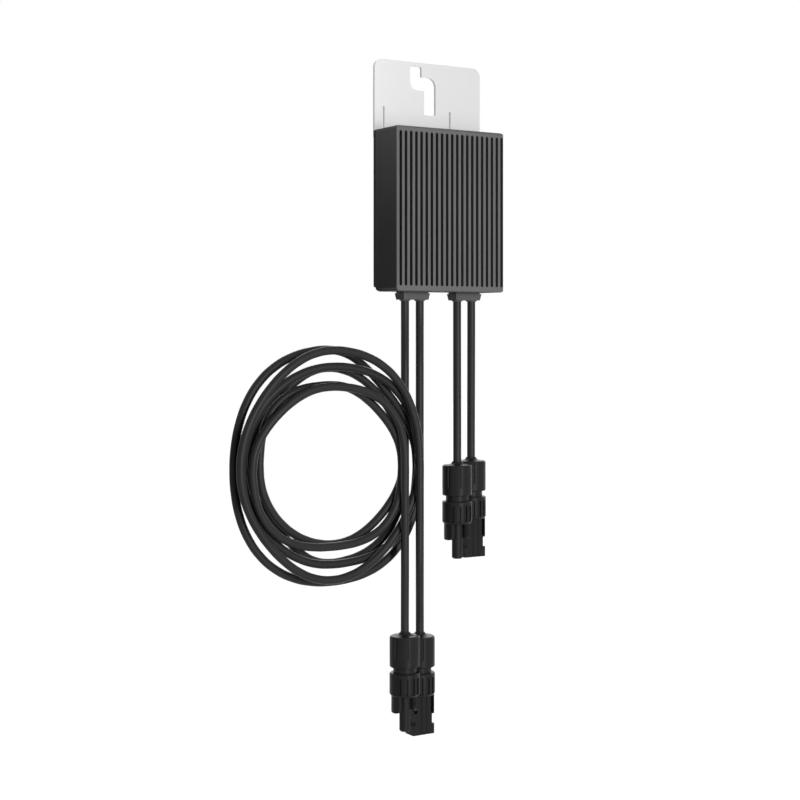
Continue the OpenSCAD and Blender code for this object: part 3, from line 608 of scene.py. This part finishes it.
class OPTIMIZER_OT_housing(bpy.types.Operator):
    """Model the finned casting, its back cover and the screws"""
    bl_idname = "optimizer.housing"
    bl_label = "Housing"

    def execute(self, context):
        settings = context.scene.housing_settings
        coat = skin_finish("casting_coat", settings.coat, roughness=0.6, grain=2200,
                           depth=0.05 * MM, tone=0.1, Specular_IOR_Level=0.01)
        dress("finned_housing", "finned_casting", coat, "black_casting")
        cover_coat = skin_finish("cover_coat", settings.cover, roughness=0.55, grain=2000,
                                 depth=0.05 * MM, Specular_IOR_Level=0.08)
        dress("back_cover", "rear_cover", cover_coat, "cover_black")
        zinc = drawn_finish("zinc_plate", (0.6, 0.6, 0.61), roughness=0.32, stretch=(1, 1, 1),
                            scale=1500, depth=0.01 * MM, Metallic=1.0)
        # Dark metal that lines the sunk drives: painted shade in the recesses.
        socket = skin_finish("drive_painted_shade", (0.1, 0.1, 0.1), roughness=0.6, grain=1800,
                             depth=0.02 * MM, Metallic=1.0)
        for node, name, head, drive in SCREW_SETS:
            screws = copy_of(node, name)
            screws.data.materials.append(zinc)
            cut_drives(screws, node, head * MM, drive * MM, DRIVE_DEPTH, socket)
            bpy.ops.object.shade_smooth_by_angle(angle=SHARP_ANGLE)
            keep(screws, "screw_steel", node)
        finish_nodes(zinc, "board_screws", "terminal_screws", "terminal_nuts")
        rubber = skin_finish("seal_rubber", (0.03, 0.03, 0.03), roughness=0.75, grain=1500,
                             depth=0.04 * MM)
        finish_nodes(rubber, "cover_gasket", *[name + "_seal" for name in CONNECTORS])
        return {"FINISHED"}


class OPTIMIZER_OT_plate(bpy.types.Operator):
    """Model the slotted mounting plate"""
    bl_idname = "optimizer.plate"
    bl_label = "Mounting plate"

    def execute(self, context):
        settings = context.scene.housing_settings
        sheet = drawn_finish("rolled_sheet", settings.plate, roughness=0.36, stretch=(0.03, 1, 1),
                             scale=2600, depth=0.012 * MM, tone=0.03, Metallic=0.3)
        dress("mounting_plate", "slotted_plate", sheet, "bare_aluminium")
        return {"FINISHED"}


class OPTIMIZER_OT_connectors(bpy.types.Operator):
    """Model the cable outlets and the four connectors"""
    bl_idname = "optimizer.connectors"
    bl_label = "Outlets and connectors"

    def execute(self, context):
        settings = context.scene.connector_settings
        outlet = skin_finish("outlet_moulding", settings.outlet, roughness=0.5, grain=1800,
                             depth=0.04 * MM, Specular_IOR_Level=0.1)
        for side in ("output", "input"):
            dress(side + "_gland", side + "_outlet", outlet, "outlet_plastic")
        moulding = skin_finish("connector_moulding", settings.colour, roughness=0.36, grain=1600,
                               depth=0.02 * MM, Specular_IOR_Level=0.08)
        for connector in CONNECTORS:
            for node, name in (("_nut", "_cap"), ("_body", "_shell")):
                dress(connector + node, connector + name, moulding, "connector_black")
        natural = skin_finish("natural_moulding", (0.6, 0.6, 0.56), roughness=0.5, grain=1200,
                              depth=0.03 * MM)
        finish_nodes(natural, *[name + "_clamp" for name in CONNECTORS])
        tinned = drawn_finish("tinned_copper", (0.72, 0.64, 0.52), roughness=0.3,
                              stretch=(1, 1, 0.1), scale=1800, depth=0.01 * MM, Metallic=1.0)
        finish_nodes(tinned, "terminal_lugs", *[name + "_contact" for name in CONNECTORS])
        return {"FINISHED"}


class OPTIMIZER_OT_electronics(bpy.types.Operator):
    """Finish the circuit board and its parts inside the housing"""
    bl_idname = "optimizer.electronics"
    bl_label = "Electronics"

    def execute(self, context):
        mask = skin_finish("solder_mask", (0.02, 0.13, 0.05), roughness=0.35, grain=700,
                           depth=0.03 * MM, patch=180)
        finish_nodes(mask, "circuit_board")
        ferrite = skin_finish("sintered_ferrite", (0.09, 0.09, 0.09), roughness=0.6, grain=1500,
                              depth=0.06 * MM)
        finish_nodes(ferrite, "inductor_cores")
        wire = drawn_finish("enamelled_wire", (0.62, 0.26, 0.09), roughness=0.3,
                            stretch=(0.2, 1, 0.2), scale=1100, depth=0.2 * MM, Metallic=1.0)
        finish_nodes(wire, "inductor_windings")
        epoxy = skin_finish("moulded_epoxy", (0.035, 0.035, 0.04), roughness=0.5, grain=1900,
                            depth=0.04 * MM)
        finish_nodes(epoxy, "input_capacitors", "switching_transistors", "control_chips")
        film = skin_finish("film_case", (0.5, 0.34, 0.06), roughness=0.32, grain=900,
                           depth=0.02 * MM)
        finish_nodes(film, "output_capacitors")
        silicone = skin_finish("thermal_silicone", (0.4, 0.48, 0.53), roughness=0.8, grain=1300,
                               depth=0.05 * MM)
        finish_nodes(silicone, "thermal_pad")
        return {"FINISHED"}


# Stage

# Lamps: distance from the aim and size in metres, turn and rise in degrees
FRONT_DISTANCE = 1.5
KEY_SIZE = (0.2, 0.7)
STRIP_BELOW = 0.25
STRIP_SIZE = (0.2, 0.5)
REAR_TURN = 140
REAR_RISE = 15
REAR_DISTANCE = 1.8
REAR_SIZE = (2.2, 2.2)
TOP_ASIDE = 0.06
TOP_HEIGHT = 0.05
TOP_AIM = -0.01
TOP_SIZE = (0.06, 0.06)

FLOOR_SIZE = 30
FLOOR_GREY = (0.4, 0.4, 0.4, 1)
# The floor's own light rises from its middle outwards
FLOOR_FADE = (("From Min", 0.4), ("From Max", 1.6), ("To Min", 0.93), ("To Max", 1.0))


def around(target, azimuth, elevation, distance):
    """A place round the target, turned to the right from its front and raised, in degrees."""
    turn, rise = math.radians(azimuth), math.radians(elevation)
    level = math.cos(rise)
    return target + distance * Vector((math.sin(turn) * level, -math.cos(turn) * level,
                                       math.sin(rise)))


def add_lamp(name, place, target, size, power):
    """A soft area lamp that points at a place."""
    data = bpy.data.lights.new(name, "AREA")
    data.shape = "RECTANGLE"
    data.size, data.size_y = size
    data.energy = power
    lamp = bpy.data.objects.new(name, data)
    lamp.location = place
    lamp.rotation_euler = (Vector(target) - Vector(place)).to_track_quat("-Z", "Y").to_euler()
    bpy.context.scene.collection.objects.link(lamp)


def seen_directly(tree):
    """1 on camera, glossy and transmission rays, 0 on the rays that carry diffuse light."""
    rays = add_node(tree, "ShaderNodeLightPath")
    direct = calculate(tree, "MAXIMUM", rays.outputs["Is Camera Ray"],
                       rays.outputs["Is Glossy Ray"])
    return calculate(tree, "MAXIMUM", direct, rays.outputs["Is Transmission Ray"])


def white_surroundings(ambient):
    """A world that is white where it is seen and lights at a plain level."""
    world = bpy.data.worlds.new("studio")
    world.use_nodes = True
    tree = world.node_tree
    background = tree.nodes["Background"]
    background.inputs["Color"].default_value = WHITE
    extra = calculate(tree, "MULTIPLY", seen_directly(tree), 1 - ambient)
    tree.links.new(calculate(tree, "ADD", extra, ambient), background.inputs["Strength"])
    bpy.context.scene.world = world


def floor_finish():
    """A pale floor that is white where it is seen and keeps the shadow."""
    material, tree, shader = new_material("pale_floor", Roughness=0.9, Specular_IOR_Level=0.1)
    drift = place_group(tree, "tone_drift", Colour=FLOOR_GREY, Scale=3, Tone_Spread=0.02)
    tree.links.new(drift.outputs["Colour"], shader.inputs["Base Color"])
    shader.inputs["Emission Color"].default_value = WHITE
    away = add_node(tree, "ShaderNodeVectorMath", operation="LENGTH")
    tree.links.new(add_node(tree, "ShaderNodeTexCoord").outputs["Object"], away.inputs[0])
    fade = add_node(tree, "ShaderNodeMapRange", interpolation_type="SMOOTHSTEP")
    for label, value in FLOOR_FADE:
        fade.inputs[label].default_value = value
    tree.links.new(away.outputs["Value"], fade.inputs["Value"])
    glow = calculate(tree, "MULTIPLY", seen_directly(tree), fade.outputs["Result"])
    tree.links.new(glow, shader.inputs["Emission Strength"])
    return material


class OPTIMIZER_OT_stage(bpy.types.Operator):
    """Set up the camera, the pale floor, the lamps and the surroundings"""
    bl_idname = "optimizer.stage"
    bl_label = "Stage"

    def execute(self, context):
        scene = context.scene
        settings = scene.stage_settings
        scene.view_settings.view_transform = "Standard"
        camera = bpy.data.objects.new("camera", bpy.data.cameras.new("camera"))
        scene.collection.objects.link(camera)
        camera.location = settings.eye
        camera.rotation_euler = (QUARTER_TURN, 0, -settings.turn)
        camera.data.lens = settings.lens
        camera.data.shift_y = settings.shift
        scene.camera = camera
        white_surroundings(settings.ambient)
        low, high = CAD_BOX
        middle = (low + high) / 2
        deselect()
        bpy.ops.mesh.primitive_plane_add(
            size=FLOOR_SIZE, location=(middle.x, middle.y, low.z - settings.drop))
        floor = context.object
        floor.name = "floor"
        floor.data.materials.append(floor_finish())
        centre = at_height(middle, 0)
        add_lamp("key_lamp", around(centre, 0, 0, FRONT_DISTANCE), centre, KEY_SIZE, settings.key)
        foot = at_height(middle, low.z - STRIP_BELOW)
        add_lamp("low_strip", around(foot, 0, 0, FRONT_DISTANCE), foot, STRIP_SIZE,
                 settings.low_strip)
        add_lamp("rear_lamp", around(centre, REAR_TURN, REAR_RISE, REAR_DISTANCE), centre,
                 REAR_SIZE, settings.rear_lamp)
        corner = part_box("finned_housing")[0].x
        add_lamp("top_lamp", (corner - TOP_ASIDE, low.y, TOP_HEIGHT), (corner, low.y, TOP_AIM),
                 TOP_SIZE, settings.top_lamp)
        return {"FINISHED"}


OPERATORS = (
    OPTIMIZER_OT_housing,
    OPTIMIZER_OT_plate,
    OPTIMIZER_OT_connectors,
    OPTIMIZER_OT_electronics,
    OPTIMIZER_OT_leads,
    OPTIMIZER_OT_stage,
)
SETTINGS = {
    "lead_settings": LeadSettings,
    "housing_settings": HousingSettings,
    "connector_settings": ConnectorSettings,
    "stage_settings": StageSettings,
}


class OPTIMIZER_PT_panel(bpy.types.Panel):
    """Sidebar panel with the sizes, the colours and the operators"""
    bl_idname = "OPTIMIZER_PT_panel"
    bl_label = "Power optimizer"
    bl_space_type = "VIEW_3D"
    bl_region_type = "UI"
    bl_category = "Optimizer"

    def draw(self, context):
        for name, settings in SETTINGS.items():
            box = self.layout.box()
            for key in settings.__annotations__:
                box.prop(getattr(context.scene, name), key)
        for operator in OPERATORS:
            self.layout.operator(operator.bl_idname)


def register():
    """Registers the settings, the operators and the panel."""
    for name, settings in SETTINGS.items():
        bpy.utils.register_class(settings)
        setattr(bpy.types.Scene, name, bpy.props.PointerProperty(type=settings))
    for made in (*OPERATORS, OPTIMIZER_PT_panel):
        bpy.utils.register_class(made)


def unregister():
    """Takes the panel, the operators and the settings away again."""
    for made in (OPTIMIZER_PT_panel, *reversed(OPERATORS)):
        bpy.utils.unregister_class(made)
    for name, settings in SETTINGS.items():
        delattr(bpy.types.Scene, name)
        bpy.utils.unregister_class(settings)


def main():
    """Builds every piece in order."""
    register()
    bpy.ops.optimizer.housing()
    bpy.ops.optimizer.plate()
    bpy.ops.optimizer.connectors()
    bpy.ops.optimizer.electronics()
    bpy.ops.optimizer.leads()
    bpy.ops.optimizer.stage()


if __name__ == "__main__":
    main()
